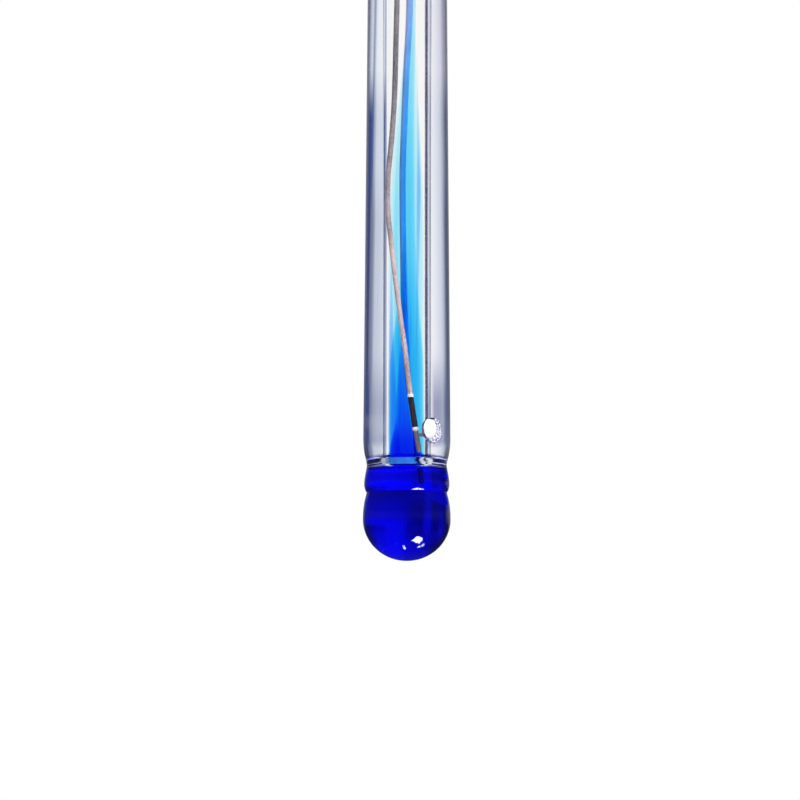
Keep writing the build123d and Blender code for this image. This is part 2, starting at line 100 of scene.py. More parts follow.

# Material slots of the tube and the membrane, of the stem, whose outside carries a painted shade line, and of
# the junction's pin and rim.
OUTSIDE, WET, SEAM, FOLD, JOINT = range(5)
STEM_OUTSIDE, STEM_SHADED, STEM_WET, STEM_JOINT = range(4)
PLAIN, GLAZE, FROSTED = range(3)
WHITE = (1.0, 1.0, 1.0)
TURNED_GRAIN = (2600.0, 2600.0, 5200.0)


# ---- nodes

class Tree:
    """A short way to write a shader's nodes."""

    def __init__(self, owner):
        owner.use_nodes = True
        self.owner, self.tree = owner, owner.node_tree
        self.tree.nodes.clear()

    def finish(self, shader, volume=None):
        """Make a shader the material's surface, and another one what fills it."""
        out = self.add("ShaderNodeOutputMaterial", Surface=shader)
        if volume is not None:
            self.put(out.inputs["Volume"], volume)
        return self.owner

    def add(self, kind, **values):
        """A node. Inputs are given by name, with _ for a space, and plain attributes in lower case."""
        node = self.tree.nodes.new(kind)
        for key, value in values.items():
            if hasattr(node, key):
                setattr(node, key, value)
            else:
                self.put(node.inputs[key.replace("_", " ")], value)
        return node

    def put(self, socket, value):
        if isinstance(value, bpy.types.NodeSocket):
            self.tree.links.new(value, socket)
        elif isinstance(value, bpy.types.Node):
            self.tree.links.new(value.outputs[0], socket)
        else:
            socket.default_value = value

    def math(self, operation, a, b=0.0, clamp=False):
        node = self.tree.nodes.new("ShaderNodeMath")
        node.operation, node.use_clamp = operation, clamp
        self.put(node.inputs[0], a)
        self.put(node.inputs[1], b)
        return node.outputs[0]

    def ramp(self, factor, stops):
        node = self.tree.nodes.new("ShaderNodeValToRGB")
        ramp = node.color_ramp
        while len(ramp.elements) < len(stops):
            ramp.elements.new(0.5)
        for element, (place, colour) in zip(ramp.elements, stops):
            element.position = place
            element.color = (*colour, 1.0) if isinstance(colour, tuple) else (colour,) * 3 + (1.0,)
        self.put(node.inputs[0], factor)
        return node.outputs[0]

    def mix(self, factor, a, b, kind="MIX"):
        node = self.tree.nodes.new("ShaderNodeMix")
        node.data_type, node.blend_type = "RGBA", kind
        self.put(node.inputs[0], factor)
        for socket, value in ((node.inputs[6], a), (node.inputs[7], b)):
            self.put(socket, (*value, 1.0) if isinstance(value, tuple) and len(value) == 3 else value)
        return node.outputs[2]

    def place(self, scale=(1.0, 1.0, 1.0)):
        """The point in the row frame, in metres, scaled along each axis."""
        where = self.add("ShaderNodeTexCoord")
        mapping = self.add("ShaderNodeMapping")
        self.put(mapping.inputs["Vector"], where.outputs["Object"])
        mapping.inputs["Scale"].default_value = scale
        return mapping.outputs[0]

    def xyz(self, output="Object"):
        """The point's X, Y and Z: in the row frame, or a direction's for the world."""
        where = self.add("ShaderNodeTexCoord")
        return self.add("ShaderNodeSeparateXYZ", Vector=where.outputs[output]).outputs

    def rise(self, place, low, span):
        """Height above low as a share of span, both in metres."""
        return self.math("DIVIDE", self.math("SUBTRACT", place["Z"], low), span)

    def sway(self, value, pattern, amount):
        """A value moved up and down a little by a noise pattern."""
        return self.math("ADD", value, self.math("MULTIPLY", self.math("SUBTRACT", pattern, 0.5), amount))

    def noise(self, vector, scale=1.0, detail=4.0, roughness=0.55, distortion=0.0):
        node = self.add(
            "ShaderNodeTexNoise",
            Vector=vector, Scale=scale, Detail=detail, Roughness=roughness, Distortion=distortion,
        )
        return node.outputs["Fac"]

    def bump(self, height, strength, distance):
        return self.add("ShaderNodeBump", Height=height, Strength=strength, Distance=distance).outputs[0]


def let_lamps_in(tree, shader):
    """Glass that lets light reach what is inside it."""
    path = tree.add("ShaderNodeLightPath")
    clear = tree.add("ShaderNodeBsdfTransparent")
    mixed = tree.add("ShaderNodeMixShader")
    tree.put(mixed.inputs[0], path.outputs["Is Shadow Ray"])
    tree.put(mixed.inputs[1], shader)
    tree.put(mixed.inputs[2], clear)
    return mixed


def glass(name, ior, roughness=0.0, wave=0.0, tint=None):
    """Drawn glass: faint draw lines along its length and slow ripples, so reflections waver."""
    tree = Tree(bpy.data.materials.new(name))
    shader = tree.add(
        "ShaderNodeBsdfPrincipled",
        Base_Color=(*WHITE, 1.0), Roughness=roughness, IOR=ior, Transmission_Weight=1.0,
    )
    if tint:
        tree.put(shader.inputs["Base Color"], tint(tree))
    lines = tree.noise(tree.place((900.0, 900.0, 14.0)), 1.0, 3.0)
    ripples = tree.noise(tree.place((160.0, 160.0, 60.0)), 1.0, 2.0)
    height = tree.math("ADD", tree.math("MULTIPLY", lines, 0.35), ripples)
    tree.put(shader.inputs["Normal"], tree.bump(height, wave, 0.2 * MM))
    return tree.finish(let_lamps_in(tree, shader))


def around(tree, place):
    """The angle round the electrode's axis, from straight in front (-Y) towards +X, in radians."""
    return tree.math("ARCTAN2", place["X"], tree.math("MULTIPLY", place["Y"], -1.0))


def stem_edge_painted_shade(tree):
    """Painted shade: a dark, speckled line that runs down one side of the stem's wall."""
    wander = tree.noise(tree.place((60.0, 60.0, 90.0)), detail=2.0)
    off = tree.math("SUBTRACT", around(tree, tree.xyz()), math.radians(SHADE_LINE_DEGREES))
    off = tree.sway(tree.math("ABSOLUTE", off), wander, 0.06)
    speckle = tree.noise(tree.place((9000.0, 9000.0, 5000.0)), detail=3.0)
    inside = tree.ramp(off, [(0.085, 1.0), (0.15, 0.0)])
    dark = tree.ramp(speckle, [(0.38, (0.001, 0.001, 0.006)), (0.66, (0.035, 0.035, 0.10))])
    return tree.mix(inside, WHITE, dark)


def membrane_painted_shade(tree):
    """Painted shade on the membrane: darker patches and bands by place across the bulb, darker towards +X low
    down, and a darker shoulder by height.
    """
    place = tree.xyz()
    cloud = tree.noise(tree.place((350.0, 350.0, 350.0)), detail=3.0)
    share = tree.math("ADD", tree.math("DIVIDE", place["X"], 2 * BULB_R * MM), 0.5)
    share = tree.sway(share, cloud, 0.05)
    height = tree.sway(tree.rise(place, TIP_Z, 10.0 * MM), cloud, 0.05)
    by_height = [(0.26, 0.0), (0.38, 1.0), (0.48, 1.0)]
    # Each mark is a painted shade, and where on the membrane it holds: a dark patch, dark bands, a darker low
    # side and a darker shoulder.
    marks = {
        "painted_shade_patch": (
            tree.ramp(share, [(0.455, 1.0), (0.515, 0.40), (0.65, 0.27), (0.675, 0.35), (0.70, 1.0)]),
            tree.ramp(height, by_height + [(0.58, 0.45), (0.68, 0.35), (0.80, 0.0)]),
        ),
        "bands": (
            tree.ramp(share, [(0.75, 1.0), (0.77, 0.50), (0.84, 0.42), (0.855, 0.85), (0.90, 0.70),
                              (0.915, 0.42), (0.93, 0.60), (0.97, 0.20), (1.0, 0.10)]),
            tree.ramp(height, by_height + [(0.58, 0.5), (0.68, 0.5), (0.85, 0.0)]),
        ),
        "low side": (
            tree.ramp(share, [(0.68, 1.0), (0.75, 0.34), (0.80, 0.12), (0.86, 0.05), (0.92, 0.03)]),
            tree.ramp(height, [(0.20, 1.0), (0.36, 0.0)]),
        ),
        "shoulder": (
            tree.ramp(height, [(0.42, 1.0), (0.58, 0.62), (0.72, 0.66), (0.80, 0.60), (0.84, 0.50),
                               (0.91, 0.44)]),
            tree.ramp(share, [(0.68, 1.0), (0.71, 0.0)]),
        ),
    }
    tint = WHITE
    for mark, here in marks.values():
        tint = tree.mix(1.0, tint, tree.mix(here, WHITE, mark), "MULTIPLY")
    return tint


def seam_painted_shade_and_highlight(tree):
    """Painted shade and painted highlight of the joint by angle: dark bands of painted shade, pale blue or
    clear between, and a thin white painted highlight line.
    """
    place = tree.xyz()
    fold = tree.noise(tree.place((700.0, 700.0, 1500.0)), detail=3.0)
    share = tree.math("ADD", tree.math("DIVIDE", around(tree, place), 2 * math.pi), 0.5)
    share = tree.sway(share, fold, 0.05)
    # dark is painted shade; pale and clear are tints. The stops give them by angle round the axis, in degrees
    # from the front.
    dark, pale, clear = (0.004, 0.006, 0.09), (0.06, 0.36, 1.0), (0.92, 0.94, 1.0)
    stops = (
        (-150, clear), (-130, dark), (-100, clear), (-76, dark), (-39, dark), (-37, clear), (-32, clear),
        (-27, pale), (9, pale), (12, dark), (17, dark), (19.5, clear), (23, clear), (25, dark), (27, dark),
        (30, clear), (34, clear), (37, dark), (72, dark), (88, clear), (120, dark), (150, clear),
    )
    colour = tree.ramp(share, [(0.5 + degrees / 360.0, colour) for degrees, colour in stops])
    height = tree.sway(tree.rise(place, up(SEAM_H - 0.5), MM), fold, 0.2)
    # A thin line of painted highlight along the seam, except in the middle of the front.
    line = tree.ramp(height, [(0.44, 0.0), (0.47, 1.0), (0.55, 1.0), (0.60, 0.0)])
    beside = tree.ramp(share, [(0.415, 1.0), (0.425, 0.0), (0.545, 0.0), (0.555, 1.0)])
    return tree.mix(tree.math("MULTIPLY", line, beside), colour, (0.85, 0.89, 1.0))


def folded_joint(name):
    """The outside of the joint, where the folded glass is only partly clear; its colour is the joint's
    painted shade and painted highlight.
    """
    tree = Tree(bpy.data.materials.new(name))
    ripple = tree.noise(tree.place((1500.0, 1500.0, 3500.0)), 1.0, 3.0)
    shader = tree.add(
        "ShaderNodeBsdfPrincipled", Base_Color=seam_painted_shade_and_highlight(tree), IOR=GLASS_IOR,
        Transmission_Weight=tree.ramp(ripple, [(0.35, 0.1), (0.65, 0.4)]),
        Roughness=tree.ramp(ripple, [(0.35, 0.05), (0.65, 0.18)]), Normal=tree.bump(ripple, 0.4, 0.1 * MM),
    )
    return tree.finish(shader)


def folded_floor(tree):
    """The floor of the outer tube, where it bends in to the seam: violet-blue along its fold."""
    fold = tree.noise(tree.place((900.0, 900.0, 900.0)), 1.0, 3.0)
    return tree.ramp(fold, [(0.36, (0.16, 0.15, 0.45)), (0.55, (0.50, 0.52, 0.85)), (0.68, (0.9, 0.93, 1.0))])


# ---- meshes

def smooth_curve(points, steps=8):
    """Catmull-Rom curve through a few points of an outline."""
    points = [Vector(p) for p in points]
    ends = [2 * points[0] - points[1], *points, 2 * points[-1] - points[-2]]
    found = []
    for a, b, c, d in zip(ends, ends[1:], ends[2:], ends[3:]):
        for i in range(steps):
            t = i / steps
            found.append(
                0.5 * (2 * b + (c - a) * t + (2 * a - 5 * b + 4 * c - d) * t**2
                       + (3 * b - a - 3 * c + d) * t**3)
            )
    found.append(points[-1])
    return [tuple(p) for p in found]


def arc(centre, radius, start, end, steps=16):
    """Points of an arc of the outline, angles in degrees from +r towards +h."""
    angles = [math.radians(start + (end - start) * i / steps) for i in range(steps + 1)]
    return [(centre[0] + radius * math.cos(a), centre[1] + radius * math.sin(a)) for a in angles]


def straight(a, b, steps):
    return [(a[0] + (b[0] - a[0]) * i / steps, a[1] + (b[1] - a[1]) * i / steps) for i in range(steps + 1)]


def revolve(name, runs, materials, segments=SEGMENTS, closed=True, base=None, shape=None, sharp=35.0):
    """A turned piece. runs is a list of (points, material index); each run goes on from the last.

    Points are (radius, height) in millimetres above the tip, or above base. With the outline
    running so that the solid is on its left, the faces look outwards. An outline that isn't
    closed starts and ends on the axis.
    """
    origin = TIP_Z if base is None else base
    mesh = bpy.data.meshes.new(name)
    bm = bmesh.new()
    rings, kinds = [], []
    for points, kind in runs:
        for i, (r, h) in enumerate(points):
            if rings and i == 0:
                continue
            ring = []
            count = 1 if r < 1e-6 else segments
            for s in range(count):
                a = 2 * math.pi * s / segments
                co = Vector((r * MM * math.cos(a), r * MM * math.sin(a), origin + h * MM))
                ring.append(bm.verts.new(shape(co) if shape else co))
            rings.append(ring)
            if len(rings) > 1:
                kinds.append(kind)
    pairs = list(zip(rings, rings[1:], kinds))
    if closed:
        pairs.append((rings[-1], rings[0], kinds[-1]))
    for low, high, kind in pairs:
        for s in range(segments):
            n = (s + 1) % segments
            corners = []
            for vert in (low[s % len(low)], low[n % len(low)], high[n % len(high)], high[s % len(high)]):
                if vert not in corners:
                    corners.append(vert)
            if len(corners) > 2:
                face = bm.faces.new(corners)
                face.material_index = kind
                face.smooth = True
    bm.to_mesh(mesh)
    bm.free()
    return piece(name, mesh, materials, sharp)


def piece(name, mesh, materials, sharp=35.0):
    obj = bpy.data.objects.new(name, mesh)
    bpy.context.scene.collection.objects.link(obj)
    for mat in materials:
        mesh.materials.append(mat)
    mesh.set_sharp_from_angle(angle=math.radians(sharp))
    return obj


def skin(name, rings, materials, kind=None, sharp=35.0):
    """A closed piece through rings of points, in metres. kind(row, angle) picks a face's material."""
    mesh = bpy.data.meshes.new(name)
    bm = bmesh.new()
    loops = [[bm.verts.new(point) for point in ring] for ring in rings]
    count = len(loops[0])
    for row, (low, high) in enumerate(zip(loops, loops[1:])):
        for i in range(count):
            n = (i + 1) % count
            face = bm.faces.new((low[i], low[n], high[n], high[i]))
            face.smooth = True
            face.material_index = kind(row, 2 * math.pi * (i + 0.5) / count) if kind else 0
    bm.faces.new(list(reversed(loops[0])))
    bm.faces.new(loops[-1])
    bmesh.ops.recalc_face_normals(bm, faces=bm.faces)
    bm.to_mesh(mesh)
    bm.free()
    return piece(name, mesh, materials, sharp)


def tube(name, path, radius, material, sides=20, shape=None):
    """A round wire along points in metres. radius is a number, or a function of the share along it."""
    rings = []
    side = Vector((0, 1, 0))
    total = len(path) - 1
    for i, point in enumerate(path):
        ahead = (path[min(i + 1, total)] - path[max(i - 1, 0)]).normalized()
        side = (side - side.dot(ahead) * ahead).normalized()
        other = ahead.cross(side)
        size = radius(i / total) if callable(radius) else radius
        ring = []
        for s in range(sides):
            a = 2 * math.pi * s / sides
            co = point + (side * math.cos(a) + other * math.sin(a)) * size
            ring.append(shape(co, point) if shape else co)
        rings.append(ring)
    return skin(name, rings, [material])


def stands_for(obj, slot, *nodes, body=ELECTRODE):
    """Attach a finished piece to the body it rides on, and hide the CAD nodes it stands for. Its finish,
    slot, is not used.
    """
    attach(obj, body)
    if nodes:
        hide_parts(*nodes)
    return obj


def up(height):
    return TIP_Z + height * MM


# ---- camera and studio

def camera():
    data = bpy.data.cameras.new("camera")
    data.lens, data.sensor_width = 38.75, 36.0
    data.clip_start, data.clip_end = 0.005, 20.0
    obj = bpy.data.objects.new("camera", data)
    obj.location = (-0.0009, -0.1177, TIP_Z + 0.00121)
    obj.rotation_euler = (math.radians(100.0), math.radians(-0.15), 0.0)
    bpy.context.scene.collection.objects.link(obj)
    bpy.context.scene.camera = obj


def studio():
    """A white sweep all round, with greyer side walls and dark edges that the glass picks up.

    Azimuths are in degrees from straight behind the electrode, towards the right. The camera
    itself sees plain white behind the electrode.
    """
    world = bpy.data.worlds.new("studio")
    bpy.context.scene.world = world
    tree = Tree(world)
    towards = tree.xyz("Generated")
    turn = tree.math("DIVIDE", tree.math("ARCTAN2", towards["X"], towards["Y"]), 2 * math.pi)
    turn = tree.math("ADD", turn, 0.5)
    lift = tree.math("ADD", tree.math("DIVIDE", tree.math("ARCSINE", towards["Z"]), math.pi), 0.5)

    def level(*stops):
        return tree.ramp(turn, [(0.5 + degrees / 360.0, colour) for degrees, colour in stops])

    def by_height(*stops):
        return tree.ramp(lift, [(0.5 + degrees / 180.0, value) for degrees, value in stops])

    card = WHITE
    navy = (0.03, 0.05, 0.19)
    front = ((-180, 0.10), (-150, 0.12), (-110, 0.16), (-60, (0.10, 0.11, 0.18)))
    front_right = ((60, navy), (110, 0.20), (150, 0.14), (180, 0.10))
    behind_bulb = level(
        *front, (-40, 0.10), (-34, 0.26), (-25, 0.34), (-20, 0.26), (-18, 0.36), (-16.5, 0.62), (-11.5, 0.62),
        (-10, 0.42), (-4, 0.46), (-1.5, 0.62), (12, 0.76), (28, 0.72), (38, 0.62), (48, 0.50), (58, 0.24),
        *front_right,
    )
    low = level(
        *front, (-41, (0.13, 0.15, 0.29)), (-36, (0.22, 0.25, 0.40)), (-33, (0.40, 0.44, 0.60)),
        (-26, (0.34, 0.38, 0.54)), (-20, (0.36, 0.36, 0.54)), (-16.5, (0.86, 0.84, 1.0)), (-11.5, card),
        (14, card), (17, (0.42, 0.48, 0.66)), (23, (0.43, 0.47, 0.60)), (27, (0.38, 0.41, 0.53)),
        (32, (0.29, 0.31, 0.44)), (36, (0.16, 0.19, 0.34)), (39, (0.03, 0.06, 0.24)), *front_right,
    )
    middle = level(
        *front, (-48, (0.08, 0.09, 0.17)), (-42, (0.20, 0.23, 0.34)), (-38, (0.44, 0.49, 0.62)),
        (-33, (0.66, 0.71, 0.84)), (-20, (0.90, 0.91, 0.99)), (-16.5, (0.92, 0.92, 1.0)), (-11.5, card),
        (14, card), (17, (0.78, 0.83, 0.92)), (20, (0.66, 0.71, 0.81)), (24, (0.60, 0.66, 0.78)),
        (30, (0.56, 0.63, 0.77)), (32, (0.34, 0.37, 0.49)), (36, (0.21, 0.24, 0.36)),
        (41, (0.15, 0.17, 0.31)), (43, navy), *front_right,
    )
    blue = level(
        *front, (-50, (0.12, 0.13, 0.22)), (-42, (0.34, 0.37, 0.50)), (-38, (0.50, 0.54, 0.68)),
        (-33, (0.68, 0.72, 0.84)), (-20, (0.90, 0.91, 0.99)), (-16.5, (0.92, 0.92, 1.0)), (-11.5, card),
        (14, card), (17, (0.86, 0.90, 0.97)), (21, (0.70, 0.75, 0.86)), (26, (0.70, 0.76, 0.87)),
        (31, (0.66, 0.72, 0.84)), (33, (0.44, 0.49, 0.62)), (36, (0.35, 0.39, 0.52)),
        (37.5, (0.08, 0.14, 0.36)), (41, (0.05, 0.11, 0.36)), (45, navy), *front_right,
    )
    high = level(
        *front, (-50, (0.34, 0.36, 0.50)), (-44, (0.46, 0.48, 0.62)), (-40, (0.66, 0.69, 0.80)),
        (-36, (0.74, 0.77, 0.87)), (-22, (0.92, 0.93, 0.99)), (-16.5, (0.90, 0.91, 0.98)), (-11.5, card),
        (14, card), (18, (0.94, 0.95, 1.0)), (22, (0.88, 0.91, 0.97)), (31, (0.90, 0.94, 1.0)),
        (34, (0.76, 0.82, 0.92)), (37.5, (0.30, 0.36, 0.50)), (40, (0.34, 0.40, 0.54)),
        (41.5, (0.70, 0.76, 0.86)), (46, (0.70, 0.76, 0.86)), *front_right,
    )
    lift_bulb = by_height((-6, 0.58), (-1, 0.68), (2.5, 1.0), (6, 1.25))
    walls = tree.mix(1.0, tree.mix(1.0, behind_bulb, lift_bulb, "MULTIPLY"), (1.5, 1.5, 1.5), "MULTIPLY")
    # Each band of the walls fades in between two elevations.
    bands = (
        (4.0, 9.0, low), (10.0, 13.0, middle), (22.0, 25.0, blue), (28.5, 31.0, high), (42.0, 55.0, card),
    )
    for start, full, band in bands:
        walls = tree.mix(by_height((start, 0.0), (full, 1.0)), walls, band)
    path = tree.add("ShaderNodeLightPath")
    softened = tree.mix(by_height((38.0, 0.4), (50.0, 1.0)), (0.0, 0.0, 0.0), walls)
    walls = tree.mix(path.outputs["Is Reflection Ray"], walls, softened)
    seen = tree.add("ShaderNodeBackground", Color=(*WHITE, 1.0))
    lit = tree.add("ShaderNodeBackground", Color=walls)
    mixed = tree.add("ShaderNodeMixShader")
    tree.put(mixed.inputs[0], path.outputs["Is Camera Ray"])
    tree.put(mixed.inputs[1], lit)
    tree.put(mixed.inputs[2], seen)
    tree.add("ShaderNodeOutputWorld", Surface=mixed)


def panel(name, centre, facing, size, power, roll=0.0, diffuse=False):
    """A soft lamp that the camera doesn't see. It shows in reflections, or it lights matt surfaces."""
    data = bpy.data.lights.new(name, "AREA")
    data.shape = "RECTANGLE"
    data.size, data.size_y = size
    data.energy = power
    obj = bpy.data.objects.new(name, data)
    obj.location = centre
    obj.rotation_mode = "QUATERNION"
    aim = (Vector(facing) - Vector(centre)).to_track_quat("-Z", "Y")
    obj.rotation_quaternion = aim @ Quaternion((0.0, 0.0, 1.0), math.radians(roll))
    obj.visible_camera = False
    obj.visible_diffuse = diffuse
    obj.visible_glossy = not diffuse
    obj.visible_transmission = False
    bpy.context.scene.collection.objects.link(obj)


def floor():
    """A pale floor, well below the hanging electrode."""
    tree = Tree(bpy.data.materials.new("pale_floor"))
    grain = tree.noise(tree.place((40.0, 40.0, 40.0)))
    shade = tree.ramp(grain, [(0.3, 0.60), (0.7, 0.66)])
    bright = tree.add("ShaderNodeEmission", Color=(*WHITE, 1.0))
    path = tree.add("ShaderNodeLightPath")
    shade = tree.mix(path.outputs["Is Reflection Ray"], shade, (0.03, 0.03, 0.03))
    dull = tree.add("ShaderNodeEmission", Color=shade)
    mixed = tree.add("ShaderNodeMixShader")
    tree.put(mixed.inputs[0], path.outputs["Is Camera Ray"])
    tree.put(mixed.inputs[1], dull)
    tree.put(mixed.inputs[2], bright)
    mesh = bpy.data.meshes.new("floor")
    bm = bmesh.new()
    bmesh.ops.create_grid(bm, x_segments=8, y_segments=8, size=3.0)
    bmesh.ops.translate(bm, verts=bm.verts, vec=(0, 0, TIP_Z - FLOOR_DROP))
    bm.to_mesh(mesh)
    bm.free()
    piece("floor", mesh, [tree.finish(mixed)])


# ---- glass

def shaft_outline():
    neck = smooth_curve([(SEAM_R, SEAM_H), (5.58, 13.5), (5.80, 14.4), (5.94, 15.4), (SHAFT_R, STRAIGHT_H)])
    fold_end = next(i for i, point in enumerate(neck) if point[1] > SEAM_H + FOLD_ABOVE)
    outside = [
        (neck[:fold_end + 1], JOINT),
        (neck[fold_end:], OUTSIDE),
        (straight((SHAFT_R, STRAIGHT_H), (SHAFT_R, HEAD_SEAT_H), 40), OUTSIDE),
        (straight((SHAFT_R, HEAD_SEAT_H), (GROUND_TOP_R, SHAFT_TOP_H), 4), OUTSIDE),
        (straight((GROUND_TOP_R, SHAFT_TOP_H), (SHAFT_BORE_R, SHAFT_TOP_H), 2), OUTSIDE),
    ]
    corner = arc((SHAFT_BORE_R - FLOOR_FILLET, FLOOR_H + FLOOR_FILLET), FLOOR_FILLET, 0.0, -90.0, 8)
    inside = [
        (straight((SHAFT_BORE_R, SHAFT_TOP_H), corner[0], 40), WET),
        (corner[:5], WET),
        (corner[4:], FOLD),
        (straight(corner[-1], (STEM_R + 0.02, FLOOR_H), 4), FOLD),
        (straight((STEM_R + 0.02, FLOOR_H), (STEM_R + 0.05, STEM_FLARE_H), 1), WET),
        (straight((STEM_R + 0.05, STEM_FLARE_H), (SEAM_MID_R, SEAM_H + SEAM_RISE), 4), SEAM),
        (straight((SEAM_MID_R, SEAM_H + SEAM_RISE), (SEAM_R, SEAM_H), 4)[:-1], SEAM),
    ]
    return outside + inside


def stem_outline():
    bead = smooth_curve([
        (GROOVE_R, GROOVE_H), (5.50, 9.2), (5.64, 9.42), (5.77, 9.85), (BEAD_R, BEAD_H), (5.79, 10.8),
        (5.69, 11.5), (5.56, 12.2), (SEAM_R - 0.01, SEAM_H - 0.01),
    ])
    roof = SEAM_H + SEAM_RISE - SUPPORT_WALL
    inner = smooth_curve([
        (STEM_BORE_R, STEM_FLARE_H + 0.6), (STEM_BORE_R + 0.1, STEM_FLARE_H - 0.2), (2.35, 12.95),
        (SEAM_MID_R, roof), (4.5, 12.3), (5.15, 11.6), (BEAD_R - SUPPORT_WALL, BEAD_H),
        (5.18, 9.6), (GROOVE_R - SUPPORT_WALL, GROOVE_H),
    ])
    fold_start = next(i for i, point in enumerate(bead) if point[1] > SEAM_H - FOLD_BELOW)
    middle = (SEAM_MID_R, SEAM_H + SEAM_RISE - 0.02)
    return [
        (bead[:fold_start + 1], STEM_OUTSIDE),
        (bead[fold_start:], STEM_JOINT),
        (straight((SEAM_R - 0.01, SEAM_H - 0.01), middle, 4), STEM_WET),
        (straight(middle, (STEM_R, STEM_FLARE_H), 4), STEM_WET),
        (straight((STEM_R, STEM_FLARE_H), (STEM_R, STEM_TOP_H), 40), STEM_SHADED),
        (straight((STEM_R, STEM_TOP_H), (STEM_BORE_R, STEM_TOP_H), 2), STEM_WET),
        (straight((STEM_BORE_R, STEM_TOP_H), inner[0], 40), STEM_WET),
        (inner, STEM_WET),
        (straight(inner[-1], (GROOVE_R, GROOVE_H), 2)[:-1], STEM_OUTSIDE),
    ]


def build_tubes(clear, wet, edge_shaded, seam, fold, joint):
    shaft = revolve("shaft_tube", shaft_outline(), [clear, wet, seam, fold, joint])
    stands_for(shaft, "clear_glass", "outer_shaft", "reference_electrolyte")
    stem = revolve("stem_tube", stem_outline(), [clear, edge_shaded, wet, joint])
    stands_for(stem, "clear_glass", "inner_stem")


def bulb_outline(inset):
    """From the bottom of the bulb round to the groove."""
    radius, height = BULB_R - inset, BULB_H - inset
    top_r = GROOVE_R - (SUPPORT_WALL if inset else 0.0)
    shoulder = smooth_curve([
        (radius, BULB_H), (radius - 0.03, 6.6), (radius - 0.17, 7.8), (top_r, GROOVE_H),
    ])
    angles = [math.radians(-90.0 + 90.0 * i / 40) for i in range(41)]
    bowl = [(radius * math.cos(a), BULB_H + height * math.sin(a)) for a in angles]
    bowl[0] = (0.0, inset)
    return bowl, shoulder


def build_bulb(membrane, wet):
    bowl, shoulder = bulb_outline(0.0)
    inner_bowl, inner_shoulder = bulb_outline(MEMBRANE_WALL)
    runs = [
        (bowl, OUTSIDE),
        (shoulder, OUTSIDE),
        (straight(shoulder[-1], inner_shoulder[-1], 2), OUTSIDE),
        (list(reversed(inner_shoulder)), WET),
        (list(reversed(inner_bowl)), WET),
    ]
    stands_for(revolve("membrane", runs, [membrane, wet], closed=False), "membrane_glass", "membrane_bulb")


def build_buffer(dye):
    """The blue buffer that fills the bulb and the bead."""
    gap = FILL_GAP
    bowl, shoulder = bulb_outline(MEMBRANE_WALL + gap)
    roof = SEAM_H + SEAM_RISE - SUPPORT_WALL - gap
    inner = smooth_curve([
        (GROOVE_R - SUPPORT_WALL - gap, GROOVE_H), (5.18 - gap, 9.6), (BEAD_R - SUPPORT_WALL - gap, BEAD_H),
        (5.15 - gap, 11.6), (4.5, 12.3 - gap), (SEAM_MID_R, roof), (2.35 - gap, 12.95),
        (STEM_BORE_R + 0.1 - gap, STEM_FLARE_H - 0.2),
    ])
    shoulder[-1] = inner[0]
    runs = [
        (bowl, 0),
        (shoulder, 0),
        (inner, 0),
        (straight(inner[-1], (0.0, STEM_FLARE_H - 0.2), 3), 0),
    ]
    stands_for(revolve("buffer_in_bulb", runs, [dye], closed=False), "blue_buffer", "buffer_fill")


def liquid(name, colour, density):
    """Coloured liquid inside glass: it tints by its depth, and its own surface doesn't show."""
    tree = Tree(bpy.data.materials.new(name))
    clear = tree.add("ShaderNodeBsdfTransparent")
    volume = tree.add("ShaderNodeVolumeAbsorption", Color=(*colour, 1.0), Density=density)
    return tree.finish(clear, volume)


def plume(name, stations, material, wander=0.04):
    """A streak of dye in the stem. A station is (height, x, y, radius) in millimetres."""
    points = smooth_curve(stations, 10)
    path = [Vector((x * MM, y * MM, up(h))) for h, x, y, _ in points]
    sizes = [max(radius, THINNEST_PLUME) * MM for *_, radius in points]

    def ripple(co, centre):
        out = co - centre
        push = noise.noise(Vector((co.x * 900, co.y * 900, co.z * 130)))
        return centre + out * (1.0 + wander * push)

    total = len(sizes) - 1
    obj = tube(name, path, lambda share: sizes[round(share * total)], material, 40, ripple)
    return stands_for(obj, "blue_buffer")


